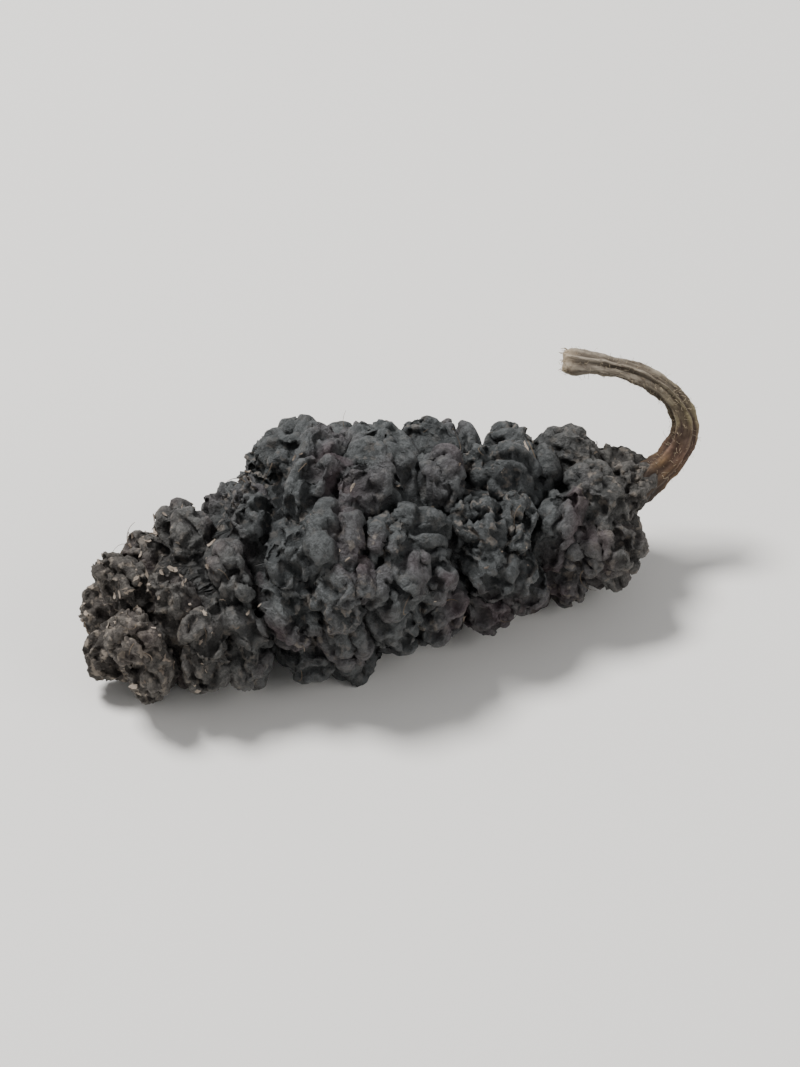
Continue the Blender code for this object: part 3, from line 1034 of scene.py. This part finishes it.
def makeStyles(skinPiece, shift):
    master = modelThread()
    depth = skinPiece.data.attributes["depth"].data
    walls = threads["styleWalls"]

    def suits(vert, chance):
        bare = depth[vert.index].value < threads["styleDepth"] and vert.co.z > threads["styleFloor"]
        return bare and chance < walls + (1 - walls) * vert.normal.z

    made = []
    for vert, draw in scatter(skinPiece, shift, threads["seed"], threads["styles"], (0.0, 1.0), suits):
        sideways = sidewaysOf(vert.normal, draw)
        made.append(layThread(
            master, vert.co - vert.normal * threads["styleRoot"], vert.normal.copy(), sideways,
            draw.uniform(*threads["styleLengths"]),
            threads["styleRadius"] * draw.uniform(*threads["styleSpread"]),
            draw.uniform(*threads["styleLift"]), draw.uniform(-threads["styleCurl"], threads["styleCurl"]),
        ))
    bpy.data.objects.remove(master)
    piece = joinAll(made, "driedStyles")
    dress(piece, dryThread("dried mulberry styles", "#3a3027", "#6b5c49"))


def makeDown(stalkPiece):
    draw = random.Random(threads["seed"] + 1)
    master = modelThread()
    verts = stalkPiece.data.vertices
    along = stalkPiece.data.attributes["along"].data
    made = []
    while len(made) < threads["down"]:
        vert = verts[draw.randrange(len(verts))]
        if along[vert.index].value < threads["downFrom"]:
            continue
        sideways = sidewaysOf(vert.normal, draw)
        made.append(layThread(
            master, vert.co - vert.normal * threads["downRoot"], vert.normal.copy(), sideways,
            draw.uniform(*threads["downLengths"]), threads["downRadius"],
            draw.uniform(*threads["downLift"]), draw.uniform(-threads["downCurl"], threads["downCurl"]),
        ))
    heading = (stalkPoint(1.0) - stalkPoint(0.98)).normalized()
    rim = [vert for vert in verts
           if along[vert.index].value > threads["frayFrom"] and vert.normal.dot(heading) < 0.9]
    for _ in range(threads["fray"]):
        vert = rim[draw.randrange(len(rim))]
        outward = (vert.normal - heading * vert.normal.dot(heading)).normalized()
        made.append(layThread(
            master, vert.co - heading * threads["frayRoot"], outward, heading,
            draw.uniform(*threads["frayLengths"]),
            threads["frayRadius"] * draw.uniform(*threads["fraySpread"]),
            draw.uniform(*threads["frayLift"]), draw.uniform(-threads["frayCurl"], threads["frayCurl"]),
        ))
    bpy.data.objects.remove(master)
    piece = joinAll(made, "stalkDown")
    dress(piece, dryThread("dried stalk down", "#8c7c64", "#ab9c82"))


def dryThread(name, dark, pale):  # dry plant fibre: dull and tan, some threads paler
    made, tree, shader = newMaterial(name)
    place = addNode(tree, "ShaderNodeTexCoord").outputs["Object"]
    shade = addNode(tree, "ShaderNodeTexNoise", {"Scale": 1 / 0.0015, "Detail": 3.0}, {"Vector": place})
    spread = addNode(tree, "ShaderNodeMapRange", {"From Min": 0.35, "From Max": 0.65},
                     {"Value": shade.outputs["Fac"]})
    colour = addNode(tree, "ShaderNodeMix", {"A": hexColour(dark), "B": hexColour(pale)},
                     {"Factor": spread.outputs["Result"]}, data_type="RGBA")
    tree.links.new(colour.outputs["Result"], shader.inputs["Base Color"])
    shader.inputs["Roughness"].default_value = 0.75
    return made


# Pale flecks: shreds of dried bract and skin caught on the drupelets, more of them at the tip

flecks = {
    "number": 240,
    "tipShare": 0.7,  # of them near the tip
    "tip": (0.0, 0.22),  # shares of the length
    "depths": (0.1, 1.2),  # mm below the outline
    "leastUp": -0.1,  # the upward part of the skin's normal there
    "sizes": (0.00005, 0.00015),  # half sizes, in metres
    "lengths": (0.9, 1.9),  # shares of its size
    "widths": (0.4, 0.9),
    "thickness": 0.13,
    "tilt": 0.6,
    "crumple": 0.9,
    "curl": 2.5,
    "waves": 2.2,
    "seed": 63,
}


def makeFlecks(skinPiece, shift):
    bpy.ops.object.select_all(action="DESELECT")
    bpy.ops.mesh.primitive_ico_sphere_add(subdivisions=2, radius=1)
    master = bpy.context.object
    depth = skinPiece.data.attributes["depth"].data
    atTip = round(flecks["number"] * flecks["tipShare"])
    shallow, deep = flecks["depths"]

    def suits(vert, _):
        return vert.normal.z > flecks["leastUp"] and shallow < depth[vert.index].value < deep

    places = list(scatter(skinPiece, shift, flecks["seed"], atTip, flecks["tip"], suits))
    places += scatter(skinPiece, shift, flecks["seed"] + 1, flecks["number"] - atTip, (0.0, 1.0), suits)
    made = []
    for vert, draw in places:
        shred = copyOf(master)
        size = draw.uniform(*flecks["sizes"]) * (0.7 + 0.3 * draw.random())
        facing = vert.normal.to_track_quat("Z", "Y").to_matrix()
        facing = facing @ Matrix.Rotation(draw.uniform(0, math.tau), 3, "Z")
        facing = facing @ Matrix.Rotation(draw.uniform(-flecks["tilt"], flecks["tilt"]), 3, "X")
        length = size * draw.uniform(*flecks["lengths"])
        width = size * draw.uniform(*flecks["widths"])
        stretch = Matrix.Diagonal((length, width, size * flecks["thickness"]))
        own = Vector((len(made) * 3.7, 0, 0))
        for point in shred.data.vertices:
            bent = point.co * (1 + flecks["crumple"] * noise.noise(point.co * 1.7 + own))
            bent.z += flecks["curl"] * bent.x ** 2 + flecks["waves"] * noise.noise(bent * 1.8 - own)
            point.co = vert.co + facing @ (stretch @ bent)
        made.append(shred)
    bpy.data.objects.remove(master)
    piece = joinAll(made, "paleFlecks")
    pickOnly(piece)
    bpy.ops.object.shade_smooth_by_angle(angle=math.radians(35))
    dress(piece, dryThread("dried bract shreds", "#554a40", "#9e9183"))


# Everything in order

setCamera()
setLight("key")
setLight("fill")
setFloor()
setWorld()
print("stage set")
shift = outlineShift()
skinPiece = makeSkin(shift)
stalkPiece = modelStalk(shift)
makeStyles(skinPiece, shift)
makeDown(stalkPiece)
makeFlecks(skinPiece, shift)
